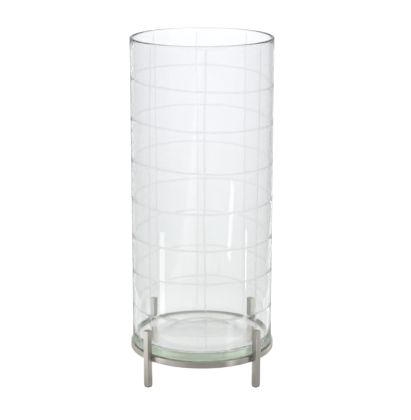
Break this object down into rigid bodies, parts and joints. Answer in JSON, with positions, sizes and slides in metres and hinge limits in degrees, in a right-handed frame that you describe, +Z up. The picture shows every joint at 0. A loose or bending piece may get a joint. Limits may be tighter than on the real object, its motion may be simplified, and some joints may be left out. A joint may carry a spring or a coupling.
{
  "type": "candle lantern",
  "caption": "Clear glass cylinder with a hand-cut grid of lines, standing loose in a low welded stand of square steel bar with upright legs.",
  "frame": {"origin": "on the floor at the centre of the stand, on the axis of the glass", "axes": "+Z up along the axis of the glass, -Y to the front, +X to the right seen from the front; the legs stand at 45 degrees to X and Y"},
  "size_m": [0.185, 0.185, 0.436],
  "materials": {
    "clear_glass": "polished clear soda glass, faintly green in the thick floor, with satin cut lines on the outside",
    "satin_steel": "satin nickel, brushed along the bar",
    "weld_metal": "plated weld bead, rippled",
    "grey_pad": "matt"
  },
  "bodies": {
    "stand": {"support_ring": "satin_steel", "leg_front_right": "satin_steel", "leg_back_right": "satin_steel", "leg_back_left": "satin_steel", "leg_front_left": "satin_steel", "weld_front_right": "weld_metal", "weld_back_right": "weld_metal", "weld_back_left": "weld_metal", "weld_front_left": "weld_metal", "foot_pad_front_right": "grey_pad", "foot_pad_back_right": "grey_pad", "foot_pad_back_left": "grey_pad", "foot_pad_front_left": "grey_pad"},
    "glass": {"glass_cylinder": "clear_glass"}
  },
  "joints": [
    {"name": "glass_lift", "type": "slide", "parent": "stand", "child": "glass", "axis": [0, 0, 1], "range_m": [0, 0.1]}
  ]
}
